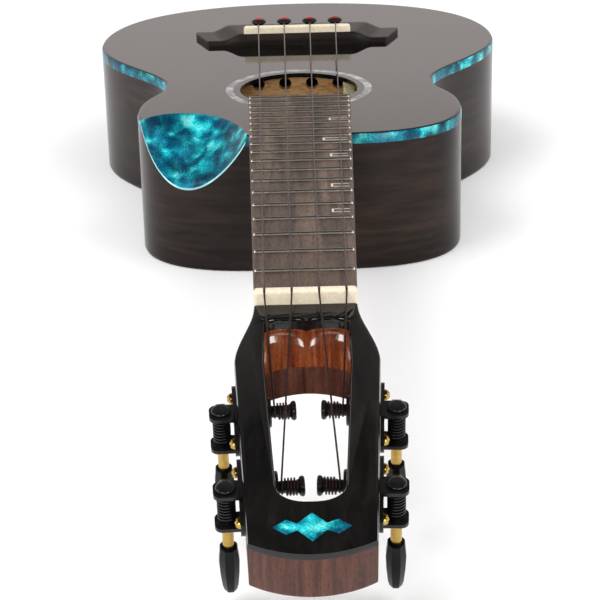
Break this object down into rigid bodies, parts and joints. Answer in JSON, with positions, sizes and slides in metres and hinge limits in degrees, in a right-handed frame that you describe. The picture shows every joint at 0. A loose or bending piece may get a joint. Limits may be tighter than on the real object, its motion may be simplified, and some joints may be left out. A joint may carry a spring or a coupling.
{
  "type": "concert ukulele",
  "caption": "Concert ukulele with a slotted head, black gloss top, pearl edge and rosette, and worm-geared tuning machines that turn.",
  "frame": {"origin": "on the flat back, on the centre line, under the end of the nominal scale length", "axes": "+Y from the head to the tail, +Z from the back to the top, +X to the right seen from the head end with the top up"},
  "size_m": [0.215, 0.6136, 0.0783],
  "materials": {
    "top_lacquer": "black high-gloss lacquer",
    "side_lacquer": "dark stained gloss lacquer",
    "teal_pearl": "dark teal pearl, polished",
    "silver_pearl": "pale pearl, polished",
    "mahogany": "satin lacquer",
    "rosewood": "oiled",
    "board_wood": "oiled",
    "fret_metal": "polished nickel silver",
    "bone": "cream, satin",
    "black_pin": "polished",
    "pin_dot": "polished",
    "black_metal": "black plated, semi-gloss",
    "button_black": "gloss",
    "gear_brass": "machined",
    "gold_metal": "gold plated, polished",
    "string_nylon": "smooth fluorocarbon",
    "lining_wood": "unfinished",
    "brace_wood": "unfinished",
    "spruce": "unfinished"
  },
  "bodies": {
    "instrument": {"back_plate": "side_lacquer", "side_rim": "side_lacquer", "top_plate": "top_lacquer", "top_binding": "teal_pearl", "bevel_panel": "teal_pearl", "rosette_ring": "silver_pearl", "top_lining": "lining_wood", "back_lining": "lining_wood", "neck_block": "lining_wood", "tail_block": "lining_wood", "holed_brace": "brace_wood", "soundhole_brace": "spruce", "bridge_plate": "lining_wood", "bridge": "rosewood", "saddle": "bone", "bridge_pin_1": "black_pin", "bridge_pin_2": "black_pin", "bridge_pin_3": "black_pin", "bridge_pin_4": "black_pin", "nut": "bone", "fingerboard": "board_wood", "neck": "mahogany", "head_veneer": "top_lacquer", "head_inlay": "teal_pearl", "string_1": "string_nylon", "string_2": "string_nylon", "string_3": "string_nylon", "string_4": "string_nylon", "tuner_plate_upper_left": "black_metal", "tuner_plate_lower_left": "black_metal", "tuner_plate_upper_right": "black_metal", "tuner_plate_lower_right": "black_metal", "bushing_upper_left": "black_metal", "bushing_lower_left": "black_metal", "bushing_upper_right": "black_metal", "bushing_lower_right": "black_metal"},
    "key_upper_left": {"worm_upper_left": "black_metal", "button_upper_left": "button_black"},
    "key_lower_left": {"worm_lower_left": "black_metal", "button_lower_left": "button_black"},
    "key_upper_right": {"worm_upper_right": "black_metal", "button_upper_right": "button_black"},
    "key_lower_right": {"worm_lower_right": "black_metal", "button_lower_right": "button_black"},
    "roller_upper_left": {"post_upper_left": "black_metal", "gear_upper_left": "gear_brass", "gear_screw_upper_left": "gold_metal", "winding_upper_left": "string_nylon"},
    "roller_lower_left": {"post_lower_left": "black_metal", "gear_lower_left": "gear_brass", "gear_screw_lower_left": "gold_metal", "winding_lower_left": "string_nylon"},
    "roller_upper_right": {"post_upper_right": "black_metal", "gear_upper_right": "gear_brass", "gear_screw_upper_right": "gold_metal", "winding_upper_right": "string_nylon"},
    "roller_lower_right": {"post_lower_right": "black_metal", "gear_lower_right": "gear_brass", "gear_screw_lower_right": "gold_metal", "winding_lower_right": "string_nylon"}
  },
  "joints": [
    {"name": "key_turn_upper_left", "type": "hinge", "parent": "instrument", "child": "key_upper_left", "pos_m": [-0.02894, -0.43837, 0.04888], "axis": [0, -0.2079, 0.9781], "continuous": true},
    {"name": "key_turn_lower_left", "type": "hinge", "parent": "instrument", "child": "key_lower_left", "pos_m": [-0.02668, -0.47686, 0.0407], "axis": [0, -0.2079, 0.9781], "continuous": true},
    {"name": "key_turn_upper_right", "type": "hinge", "parent": "instrument", "child": "key_upper_right", "pos_m": [0.02894, -0.43837, 0.04888], "axis": [0, -0.2079, 0.9781], "continuous": true},
    {"name": "key_turn_lower_right", "type": "hinge", "parent": "instrument", "child": "key_lower_right", "pos_m": [0.02668, -0.47686, 0.0407], "axis": [0, -0.2079, 0.9781], "continuous": true},
    {"name": "roller_turn_upper_left", "type": "hinge", "parent": "instrument", "child": "roller_upper_left", "pos_m": [-0.02385, -0.43221, 0.05019], "axis": [-0.9984, -0.0561, -0.0119], "continuous": true},
    {"name": "roller_turn_lower_left", "type": "hinge", "parent": "instrument", "child": "roller_lower_left", "pos_m": [-0.02159, -0.4707, 0.04201], "axis": [-0.9984, -0.0561, -0.0119], "continuous": true},
    {"name": "roller_turn_upper_right", "type": "hinge", "parent": "instrument", "child": "roller_upper_right", "pos_m": [0.02385, -0.43221, 0.05019], "axis": [0.9984, -0.0561, -0.0119], "continuous": true},
    {"name": "roller_turn_lower_right", "type": "hinge", "parent": "instrument", "child": "roller_lower_right", "pos_m": [0.02159, -0.4707, 0.04201], "axis": [0.9984, -0.0561, -0.0119], "continuous": true}
  ],
  "couplings": [
    {"joint": "roller_turn_upper_left", "follows": "key_turn_upper_left", "ratio": -0.055556},
    {"joint": "roller_turn_lower_left", "follows": "key_turn_lower_left", "ratio": -0.055556},
    {"joint": "roller_turn_upper_right", "follows": "key_turn_upper_right", "ratio": 0.055556},
    {"joint": "roller_turn_lower_right", "follows": "key_turn_lower_right", "ratio": 0.055556}
  ]
}
